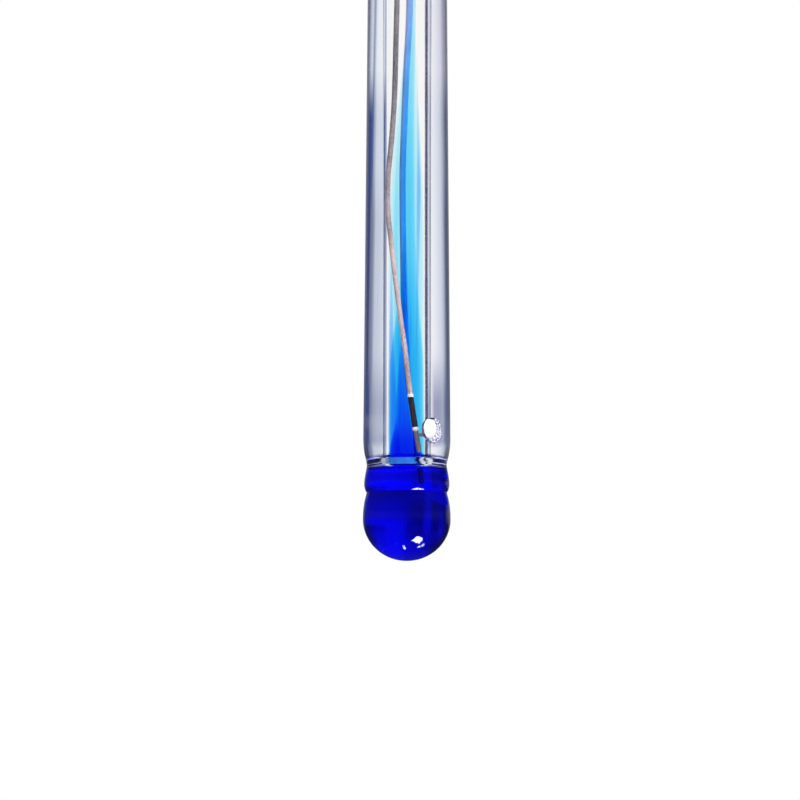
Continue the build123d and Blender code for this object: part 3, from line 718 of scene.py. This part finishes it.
def build_dye(sky, azure, cobalt, violet):
    """Blue creeping up the stem: a pale veil, a deeper one low down, and streaks in both."""
    plumes = {
        "dye_veil": (sky, [
            (13.7, -0.02, 0.0, 1.86), (20, -0.05, 0.0, 1.83), (44, -0.07, 0.0, 1.80), (52, -0.04, 0.0, 1.70),
            (58, 0.0, 0.1, 1.45), (65, 0.1, 0.2, 1.05), (74, 0.3, 0.3, 0.6), (84, 0.4, 0.3, 0.02),
        ]),
        "dye_low_veil": (azure, [
            (13.7, -0.03, 0.0, 1.84), (22, -0.06, 0.0, 1.81), (28, 0.0, 0.0, 1.66), (35, 0.12, 0.1, 1.15),
            (44, 0.22, 0.3, 0.66), (56, 0.17, 0.3, 0.56), (66, 0.27, 0.4, 0.46), (76, 0.46, 0.4, 0.38),
            (92, 0.62, 0.4, 0.30), (120, 0.66, 0.4, 0.24),
        ]),
        "dye_round_wire": (violet, [
            (22, 0.2, 0.9, 0.01), (30, 0.0, 1.0, 0.30), (40, -0.26, 1.1, 0.35), (50, -0.44, 1.15, 0.36),
            (66, -0.24, 1.2, 0.35), (84, 0.25, 1.25, 0.35), (118, 0.4, 1.2, 0.35),
        ]),
        "dye_core": (cobalt, [
            (13.7, 0.0, 0.0, 1.80), (15.5, -0.2, 0.0, 1.52), (18.5, -0.27, 0.0, 0.90), (22, -0.45, 0.1, 0.62),
            (28, -0.45, 0.3, 0.34), (34, -0.35, 0.5, 0.12), (42, -0.3, 0.7, 0.01),
        ]),
        "dye_left_curl": (cobalt, [
            (14, -1.15, -0.3, 0.65), (18, -1.38, -0.1, 0.45), (23, -1.45, 0.0, 0.38), (30, -1.58, 0.05, 0.26),
            (38, -1.60, 0.1, 0.12), (47, -1.6, 0.1, 0.01),
        ]),
        "dye_right_thread": (cobalt, [
            (20, 0.9, 0.2, 0.01), (30, 0.98, 0.3, 0.09), (44, 1.1, 0.3, 0.17), (52, 1.18, 0.2, 0.22),
            (62, 1.1, 0.2, 0.10), (76, 0.95, 0.2, 0.01),
        ]),
        "dye_middle_thread": (cobalt, [
            (24, 0.1, -0.2, 0.01), (31, 0.38, -0.2, 0.11), (38, 0.30, -0.1, 0.06), (48, 0.25, 0.0, 0.01),
        ]),
        "dye_front_thread": (cobalt, [
            (15, -0.9, -1.2, 0.20), (22, -0.72, -1.3, 0.12), (30, -0.85, -1.2, 0.08), (44, -0.9, -1.1, 0.01),
        ]),
        "dye_wisp": (cobalt, [
            (16, 0.4, -1.2, 0.16), (22, 0.02, -1.3, 0.12), (30, -0.25, -1.3, 0.10), (40, -0.2, -1.1, 0.01),
        ]),
        "dye_left_thread": (azure, [
            (16, -0.9, 0.9, 0.35), (30, -1.0, 0.7, 0.26), (50, -1.1, 0.5, 0.20), (66, -0.7, 0.5, 0.01),
        ]),
    }
    for name, (material, stations) in plumes.items():
        plume(name, stations, material)


# ---- wires

def route(points):
    """A wire's centre line: a smooth curve through its route, with the small bends of hand straightening."""
    curve = smooth_curve(points, 24)
    path = []
    for h, x, y in curve:
        sway = noise.noise(Vector((h * 0.11, 3.7, 0.0))) * 0.05
        path.append(Vector(((x + sway) * MM, y * MM, up(h))))
    return path


def stretch(path, low, high):
    """The part of a path between two heights, ends included."""
    def at(z):
        for a, b in zip(path, path[1:]):
            if min(a.z, b.z) <= z <= max(a.z, b.z):
                return a.lerp(b, (z - a.z) / (b.z - a.z))
        raise ValueError("the path doesn't reach that height")
    inner = [p for p in path if up(low) + 0.02 * MM < p.z < up(high) - 0.02 * MM]
    return [at(up(high)), *inner, at(up(low))]


def metal(name, light, dark, roughness=(0.32, 0.55), metallic=0.85, grain=(3000.0, 3000.0, 160.0), bump=0.25):
    """Drawn or turned metal: tarnish in clouds, fine lines along the drawing direction."""
    tree = Tree(bpy.data.materials.new(name))
    clouds = tree.noise(tree.place((500.0, 500.0, 260.0)), 1.0, 5.0)
    lines = tree.noise(tree.place(grain), 1.0, 3.0)
    mixed = tree.math("ADD", tree.math("MULTIPLY", clouds, 0.65), tree.math("MULTIPLY", lines, 0.35))
    colour = tree.ramp(mixed, [(0.36, dark), (0.62, light)])
    rough = tree.ramp(clouds, [(0.35, roughness[0]), (0.7, roughness[1])])
    shader = tree.add(
        "ShaderNodeBsdfPrincipled", Base_Color=colour, Metallic=metallic, Roughness=rough,
        Normal=tree.bump(mixed, bump, 0.04 * MM),
    )
    return tree.finish(shader)


def weathered(name):
    """The old silver wire: grey and grainy at the top, cleaner and pinker lower down."""
    tree = Tree(bpy.data.materials.new(name))
    height = tree.rise(tree.xyz(), TIP_Z, SHAFT_TOP_H * MM)
    clouds = tree.noise(tree.place((700.0, 700.0, 300.0)), 1.0, 5.0)
    grains = tree.noise(tree.place((5200.0, 5200.0, 2600.0)), 1.0, 4.0)
    mixed = tree.math("ADD", tree.math("MULTIPLY", clouds, 0.5), tree.math("MULTIPLY", grains, 0.5))
    old = tree.ramp(mixed, [(0.38, (0.16, 0.14, 0.16)), (0.62, (0.34, 0.32, 0.36))])
    clean = tree.ramp(mixed, [(0.38, (0.38, 0.27, 0.28)), (0.62, (0.80, 0.64, 0.65))])
    clean = tree.mix(tree.ramp(height, [(0.121, 1.0), (0.126, 0.0)]), clean, old)
    colour = tree.mix(tree.ramp(height, [(0.28, 0.0), (0.46, 1.0)]), clean, old)
    shader = tree.add(
        "ShaderNodeBsdfPrincipled", Base_Color=colour, Metallic=0.2,
        Roughness=tree.ramp(clouds, [(0.35, 0.40), (0.7, 0.65)]), Normal=tree.bump(mixed, 0.5, 0.05 * MM),
    )
    return tree.finish(shader)


def crust(name, light, dark, roughness=0.8, scale=4000.0, bump=0.6, specular=0.4):
    """A matt, grainy surface: silver chloride, ceramic, fused bead."""
    tree = Tree(bpy.data.materials.new(name))
    grains = tree.noise(tree.place(), scale, 5.0, 0.65)
    patches = tree.noise(tree.place(), scale * 0.18, 3.0)
    colour = tree.mix(0.4, tree.ramp(grains, [(0.35, dark), (0.65, light)]),
                      tree.ramp(patches, [(0.35, dark), (0.65, light)]))
    rough = tree.ramp(grains, [(0.3, roughness - 0.12), (0.7, min(roughness + 0.12, 1.0))])
    shader = tree.add(
        "ShaderNodeBsdfPrincipled", Base_Color=colour, Roughness=rough, Specular_IOR_Level=specular,
        Normal=tree.bump(grains, bump, 0.06 * MM),
    )
    return tree.finish(shader)


def rough_coat(co, centre):
    out = co - centre
    return centre + out * (1.0 + 0.07 * noise.noise(co * 5200.0))


def build_wires(tarnished, stained, chloride, dip_chloride, bead):
    reference_route = [
        (140.0, -1.0), (96.0, -1.15), (70.0, -1.48), (60.0, -1.84), (53.0, -2.30), (48.0, -2.28),
        (43.0, -1.86), (33.0, -0.85), (28.0, -0.25), (22.0, 0.37), (17.5, 0.98), (14.4, 1.48),
    ]
    reference = route([(h, x, -math.sqrt(REFERENCE_RADIUS**2 - x**2)) for h, x in reference_route])
    measuring = route([
        (146.0, 0.0, 0.0), (118.0, 0.4, 1.2), (84.0, 0.25, 1.3), (64.0, -0.26, 1.3), (50.0, -0.44, 1.3),
        (28.0, -0.05, 1.2), (18.0, 0.84, 0.6), (14.0, 1.10, 0.4), (10.0, 1.5, 0.3),
    ])

    def lump(share):
        """A bead is fattest at its middle."""
        return (COATING_BEAD_R - 0.10 * abs(2 * share - 1) ** 2) * MM

    def thicker_above(share):
        """The crust on the old wire adds a little to its upper half."""
        return (WIRE_R + 0.045 * min(1.0, max(0.0, 1.35 - 2.0 * share))) * MM

    def thinner_below(share):
        """The measuring wire thins out in the stretch that its coat hides."""
        return WIRE_R * (1.0 - 0.5 * min(1.0, max(0.0, (share - 0.94) / 0.01))) * MM

    def thin_coat(share):
        """The dip coat is thinner towards its upper end."""
        return COATING_R * (0.60 + 0.26 * share) * MM

    stands_for(tube("reference_silver", reference, thicker_above, tarnished), "silver", "reference_wire")
    inner_wire = stretch(measuring, WIRE_LOW, WIRE_HIGH)
    stands_for(tube("measuring_silver", inner_wire, thinner_below, stained), "silver", "measuring_wire")
    coat = stretch(reference, COAT_LOW, COAT_HIGH)
    stands_for(tube("reference_chloride", coat, COATING_R * MM, chloride, 24, rough_coat),
               "silver_chloride", "reference_coating")
    dip = stretch(measuring, DIP_LOW, DIP_HIGH)
    stands_for(tube("measuring_chloride", dip, thin_coat, dip_chloride, 24, rough_coat),
               "silver_chloride", "measuring_coating")
    for name, span in (("lower_bead", LOWER_BEAD), ("upper_bead", UPPER_BEAD)):
        ends = stretch(reference, *span)
        path = [ends[0].lerp(ends[-1], i / 12) for i in range(13)]
        stands_for(tube(name, path, lump, bead, 24, rough_coat), "white_ceramic", "coating_beads")
    return reference


# ---- liquid junction

def crinkled(name):
    """Glass that crinkled as it was fused: frosted ridges painted white as highlights, with dark hollows of
    painted shade between them.
    """
    tree = Tree(bpy.data.materials.new(name))
    folds = tree.noise(tree.place((4200.0, 4200.0, 4200.0)), 1.0, 3.0, 0.6, 0.8)
    painted_hollow_shade, flank, painted_ridge_highlight = (0.03, 0.03, 0.13), (0.42, 0.42, 0.68), (0.99, 0.98, 1.0)
    colour = tree.ramp(folds, [(0.40, painted_hollow_shade), (0.48, flank), (0.54, painted_ridge_highlight)])
    shader = tree.add(
        "ShaderNodeBsdfPrincipled", Base_Color=colour, IOR=GLASS_IOR,
        Roughness=tree.ramp(folds, [(0.3, 0.15), (0.7, 0.6)]), Normal=tree.bump(folds, 0.8, 0.2 * MM),
    )
    return tree.finish(shader)


def across(along, sideways, height):
    """A point by the junction: distance out from the axis, distance to the side, height from its centre."""
    outward = Vector((math.cos(JUNCTION_ANGLE), math.sin(JUNCTION_ANGLE), 0.0))
    side = Vector((-outward.y, outward.x, 0.0))
    return (outward * along + side * sideways) * MM + Vector((0, 0, up(JUNCTION_H + height)))


def disc_stack(name, rings, materials, kind, sharp=35.0):
    """A closed piece round the junction's own axis. rings is a list of functions of the angle
    that give (distance out, sideways, height)."""
    turns = [2 * math.pi * i / DISC_SEGMENTS for i in range(DISC_SEGMENTS)]
    return skin(name, [[across(*ring(a)) for a in turns] for ring in rings], materials, kind, sharp)


def wall_at(sideways):
    """How far out the shaft's outside is, this far to the side of the junction's axis."""
    return math.sqrt(SHAFT_R**2 - sideways**2)


def build_junction(ceramic, fused, glaze, frosted, bridge_stuff, reference):
    def face_edge(a, grow=0.0):
        """The white face's outline: narrower than the pin, and to one side of it."""
        rough = 1.0 + 0.03 * math.sin(3 * a + 0.8) + 0.02 * math.sin(7 * a)
        radius = (JUNCTION_R - 0.04) * rough + grow
        return FACE_WIDTH * radius * math.cos(a) - FACE_SHIFT * JUNCTION_R, radius * math.sin(a)

    def pin_ring(depth, share, follow=True):
        """share is the ring's size against the face's outline."""
        def ring(a):
            s, h = (share * value for value in face_edge(a))
            return (wall_at(s) - depth if follow else depth, s, h)
        return ring

    pin = disc_stack("ceramic_pin", [
        pin_ring(JUNCTION_INNER_R, 0.22, False), pin_ring(JUNCTION_INNER_R + 0.1, 0.26, False),
        pin_ring(0.6, 0.34), pin_ring(0.16, 0.97), pin_ring(0.04, 1.0), pin_ring(0.0, 0.9),
        pin_ring(0.01, 0.5), pin_ring(0.03, 0.08),
    ], [ceramic, glaze], kind=lambda row, a: GLAZE if row == 3 else PLAIN)
    stands_for(pin, "white_ceramic", "ceramic_junction")

    def rim_ring(share, lift, inner=False):
        """share runs from the face's edge to the rim's; lift is how far below the wall's face it lies."""
        def ring(a):
            crinkle = noise.noise(Vector((math.cos(a) * 2.6, math.sin(a) * 2.6, share * 2.0)))
            fine = noise.noise(Vector((math.cos(a) * 9.0, math.sin(a) * 9.0, share * 5.0)))
            heavy = 0.5 + 0.5 * math.cos(a - HEAVY_SIDE)
            reach = JUNCTION_R + 0.10 + (COLLAR_R - JUNCTION_R - 0.12) * heavy**1.5
            reach = min(reach * (1.0 + 0.06 * crinkle + 0.05 * fine), COLLAR_R - 0.01)
            near_s, near_h = face_edge(a, 0.02)
            s = near_s + share * (reach * math.cos(a) - near_s)
            s += 0.8 * max(0.0, -math.cos(a)) if inner else 0.0
            h = near_h + share * (reach * math.sin(a) - near_h)
            dip = lift + 0.16 * abs(crinkle) + 0.07 * fine
            return (SHAFT_BORE_R - RIM_DEPTH + dip if inner else wall_at(s) - max(dip, 0.0), s, h)
        return ring

    def rim_kind(row, a):
        """A dark line next to the face, clear glass on one side, and a frosted, crinkled heavy side whose
        ridges carry painted highlights and whose hollows carry painted shade.
        """
        if math.cos(a - HEAVY_SIDE) > -0.12:
            return FROSTED if row >= 3 else PLAIN
        return GLAZE if row >= 6 else PLAIN

    rim = disc_stack("fused_rim", [
        rim_ring(0.0, 0.02, True), rim_ring(0.35, 0.0, True), rim_ring(0.7, 0.1, True),
        rim_ring(0.95, 0.3, True), rim_ring(1.0, 0.4), rim_ring(0.92, 0.12), rim_ring(0.75, 0.02),
        rim_ring(0.6, 0.08), rim_ring(0.4, 0.02), rim_ring(0.0, 0.14),
    ], [fused, glaze, frosted], kind=rim_kind, sharp=60.0)
    stands_for(rim, "clear_glass", "junction_collar")

    start = stretch(reference, BRIDGE_H - 0.01, BRIDGE_H + 0.01)[0]
    pin = across(JUNCTION_INNER_R, 0.0, BRIDGE_H - JUNCTION_H)
    steps = 14
    path = [start.lerp(pin, i / steps) for i in range(steps + 1)]

    def knot(co, centre):
        return centre + (co - centre) * (1.0 + 0.25 * noise.noise(co * 3500.0))

    thread = tube("bridge_thread", path, BRIDGE_R * MM, bridge_stuff, 16, knot)
    stands_for(thread, "silver", "junction_bridge")


# ---- head

def moulded(name, light, dark, roughness=(0.36, 0.55), grain=2600.0, bump=0.22, streaks=0.25):
    """Moulded plastic: fine spark-eroded grain, slow shade changes, and faint rubbed streaks."""
    tree = Tree(bpy.data.materials.new(name))
    grains = tree.noise(tree.place(), grain, 3.0, 0.6)
    slow = tree.noise(tree.place(), 90.0, 3.0)
    rubbed = tree.noise(tree.place((260.0, 260.0, 2400.0)), 1.0, 4.0, 0.6, 0.4)
    rubbed = tree.ramp(rubbed, [(0.60, 0.0), (0.72, streaks)])
    colour = tree.ramp(slow, [(0.35, dark), (0.65, light)])
    colour = tree.mix(rubbed, colour, tuple(min(1.0, 1.5 * c + 0.06) for c in light))
    rough = tree.math("ADD", tree.ramp(slow, [(0.3, roughness[0]), (0.7, roughness[1])]),
                      tree.math("MULTIPLY", rubbed, 0.4), True)
    shader = tree.add(
        "ShaderNodeBsdfPrincipled", Base_Color=colour, Roughness=rough, IOR=1.5,
        Normal=tree.bump(grains, bump, 0.06 * MM),
    )
    return tree.finish(shader)


def cast_resin(name, colour, depth):
    """Potting or adhesive that was poured: glossy, cloudy and slightly see-through."""
    tree = Tree(bpy.data.materials.new(name))
    cloud = tree.noise(tree.place(), 420.0, 4.0)
    shader = tree.add(
        "ShaderNodeBsdfPrincipled", Base_Color=tree.ramp(cloud, [(0.35, depth), (0.68, colour)]),
        Roughness=tree.ramp(cloud, [(0.3, 0.12), (0.7, 0.28)]), IOR=1.55, Subsurface_Weight=0.15,
        Normal=tree.bump(cloud, 0.15, 0.1 * MM),
    )
    return tree.finish(shader)


def dress(material, *nodes):
    """Give CAD nodes their finish."""
    for node in nodes:
        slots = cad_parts[node].material_slots
        if not slots:
            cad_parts[node].data.materials.append(material)
        for slot in slots:
            slot.material = material


def build_plug(nickel):
    """The screw plug: a knurled flange, a true helical thread and the socket inside."""
    root_r = PLUG_R - THREAD_DEPTH

    def cut(co):
        x, y, z = (value / MM for value in co)
        r, turn = math.hypot(x, y), math.atan2(y, x)
        if FLANGE_LOW < z < FLANGE_HIGH and r > PLUG_FLANGE_R - 0.01:
            r -= KNURL_DEPTH * (0.5 - 0.5 * math.cos(KNURLS * turn))
        elif THREAD_LOW < z < THREAD_HIGH and abs(r - root_r) < 0.01:
            phase = ((z - THREAD_LOW) / THREAD_PITCH - turn / (2 * math.pi)) % 1.0
            flank = min(1.0, max(0.0, (0.40 - abs(phase - 0.5)) / 0.30))
            fade = min(1.0, (z - THREAD_LOW) / 0.8, (THREAD_HIGH - z) / 0.6)
            r += THREAD_DEPTH * flank * max(0.0, fade)
        return Vector((r * math.cos(turn) * MM, r * math.sin(turn) * MM, co.z))

    edge = PLUG_EDGE
    outside = [
        (INSULATOR_R, PLUG_BOTTOM_Z), (HEAD_SOCKET_R, PLUG_BOTTOM_Z), (HEAD_SOCKET_R, FLANGE_LOW),
        (PLUG_FLANGE_R - edge, FLANGE_LOW), (PLUG_FLANGE_R, FLANGE_LOW + edge),
    ]
    rim = straight((PLUG_FLANGE_R, FLANGE_LOW + edge), (PLUG_FLANGE_R, FLANGE_HIGH - edge), 4)
    top_of_flange = [
        (PLUG_FLANGE_R, FLANGE_HIGH - edge), (PLUG_FLANGE_R - edge, FLANGE_HIGH), (root_r, FLANGE_HIGH),
    ]
    thread = straight((root_r, FLANGE_HIGH), (root_r, PLUG_TOP_Z - edge), 92)
    mouth = [
        (root_r, PLUG_TOP_Z - edge), (root_r - edge, PLUG_TOP_Z), (PLUG_BORE_R + edge, PLUG_TOP_Z),
        (PLUG_BORE_R, PLUG_TOP_Z - edge), (PLUG_BORE_R, PLUG_FLOOR_Z), (INSULATOR_R, PLUG_FLOOR_Z),
    ]
    runs = [(points, 0) for points in (outside, rim, top_of_flange, thread, mouth)]
    plug = revolve("screw_plug", runs, [nickel], segments=240, base=0.0, shape=cut, sharp=28.0)
    stands_for(plug, "nickel_plate", "connector_body")


def dress_head():
    """Finishes of the CAD nodes that stay."""
    dress(moulded("head_plastic", (0.030, 0.034, 0.050), (0.018, 0.020, 0.032)), "head_shell")
    dress(moulded("marker_plastic", (0.03, 0.19, 0.62), (0.02, 0.13, 0.50), (0.28, 0.40)), "marker_ring")
    dress(moulded("slider_plastic", (0.085, 0.09, 0.10), (0.055, 0.058, 0.07), (0.5, 0.7), 3400.0, 0.35),
          "refill_slider")
    dress(crust("seal_rubber", (0.030, 0.030, 0.032), (0.014, 0.014, 0.016), 0.72, 3200.0, 0.3, 0.3),
          "slider_seals", "connector_gasket", "shaft_gasket")
    dress(moulded("clear_silicone", (0.78, 0.80, 0.80), (0.66, 0.69, 0.70), (0.3, 0.42), 1800.0, 0.12, 0.05),
          "annulus_seal", "stem_stopper")
    dress(moulded("ptfe", (0.90, 0.90, 0.88), (0.80, 0.80, 0.79), (0.42, 0.55), 3000.0, 0.15, 0.12),
          "connector_insulator")
    dress(metal("gold_plate", (0.96, 0.72, 0.30), (0.78, 0.52, 0.17), (0.16, 0.32), 1.0, TURNED_GRAIN, 0.12),
          "centre_contact", "shield_contact")
    dress(cast_resin("shaft_epoxy", (0.62, 0.46, 0.22), (0.44, 0.30, 0.12)), "shaft_adhesive")
    dress(cast_resin("head_potting", (0.05, 0.05, 0.055), (0.02, 0.02, 0.024)), "head_potting")
    dress(moulded("red_sleeve", (0.55, 0.04, 0.03), (0.38, 0.02, 0.02), (0.35, 0.5)), "centre_lead")
    dress(moulded("green_sleeve", (0.03, 0.28, 0.10), (0.02, 0.18, 0.06), (0.35, 0.5)), "shield_lead")


# ---- putting it together

camera()
studio()
floor()
bulb_middle = (0.0, 0.0, TIP_Z + 0.006)
panel("window", (0.0645, -0.0560, TIP_Z - 0.130), bulb_middle, (0.056, 0.044), 0.28)
panel("window_sill", (0.068, 0.009, TIP_Z - 0.1375), bulb_middle, (0.008, 0.036), 0.020)
panel("low_strip", (-0.013, -0.009, TIP_Z - 0.147), bulb_middle, (0.010, 0.045), 0.020, roll=-43.0)
panel("key", (0.22, -0.34, TIP_Z + 0.20), (0.0, 0.0, TIP_Z + 0.03), (0.22, 0.30), 1.9, diffuse=True)

clear_glass = glass("clear_glass", GLASS_IOR, wave=0.03)
wet_glass = glass("wet_glass", WALL_IOR, wave=0.02)
# The stem's glass carries a painted dark shade line down one side.
stem_glass = glass("stem_glass", WALL_IOR, wave=0.02, tint=stem_edge_painted_shade)
# The joint's glass carries painted shade and a painted highlight by angle.
seam_glass = glass("seam_glass", WALL_IOR, wave=0.05, tint=seam_painted_shade_and_highlight)
outer_seam_glass = folded_joint("folded_joint")
floor_glass = glass("floor_glass", WALL_IOR, wave=0.05, tint=folded_floor)
# The membrane's tint is painted shade.
membrane_glass = glass("membrane_glass", GLASS_IOR, wave=0.02, tint=membrane_painted_shade)
fused_glass = glass("fused_glass", GLASS_IOR, roughness=0.08, wave=0.3)
glaze = crust("dark_glaze", (0.03, 0.035, 0.14), (0.008, 0.010, 0.05), roughness=0.25, bump=0.3)
tarnished = weathered("weathered_silver")
stained_silver = metal("stained_silver", (0.66, 0.56, 0.84), (0.50, 0.43, 0.70), metallic=0.1)
chloride = crust("silver_chloride", (0.035, 0.03, 0.035), (0.012, 0.010, 0.014), specular=0.15)
dip_chloride = crust("dip_chloride", (0.05, 0.05, 0.30), (0.02, 0.02, 0.14), specular=0.15)
bead = crust("fused_bead", (0.92, 0.91, 0.90), (0.75, 0.72, 0.72), scale=2500.0)
ceramic = crust("porous_ceramic", (0.92, 0.91, 0.93), (0.74, 0.70, 0.78), scale=3600.0, bump=0.5)
fibre = crust("salt_thread", (0.42, 0.36, 0.33), (0.22, 0.18, 0.17), scale=3000.0)

build_tubes(clear_glass, wet_glass, stem_glass, seam_glass, floor_glass, outer_seam_glass)
build_bulb(membrane_glass, wet_glass)
build_buffer(liquid("deep_blue", (0.0, 0.34, 0.997), 3500.0))
build_dye(
    liquid("sky_dye", (0.0, 0.83, 0.99), 300.0),
    liquid("azure_dye", (0.0, 0.79, 0.985), 900.0),
    liquid("cobalt_dye", (0.0, 0.40, 0.985), 1700.0),
    liquid("violet_dye", (0.0, 0.40, 0.88), 900.0),
)
reference_path = build_wires(tarnished, stained_silver, chloride, dip_chloride, bead)
dress_head()
nickel = metal("nickel_plate", (0.86, 0.84, 0.80), (0.66, 0.64, 0.61), (0.30, 0.46), 0.7, TURNED_GRAIN, 0.12)
build_plug(nickel)
# The rim's crinkled glass carries painted highlights on its ridges and painted shade in its hollows.
build_junction(ceramic, fused_glass, glaze, crinkled("crinkled_rim"), fibre, reference_path)

bpy.context.scene.view_settings.view_transform = "Standard"
bounces = bpy.context.scene.cycles
bounces.max_bounces = bounces.transmission_bounces = 32
bounces.transparent_max_bounces = 64
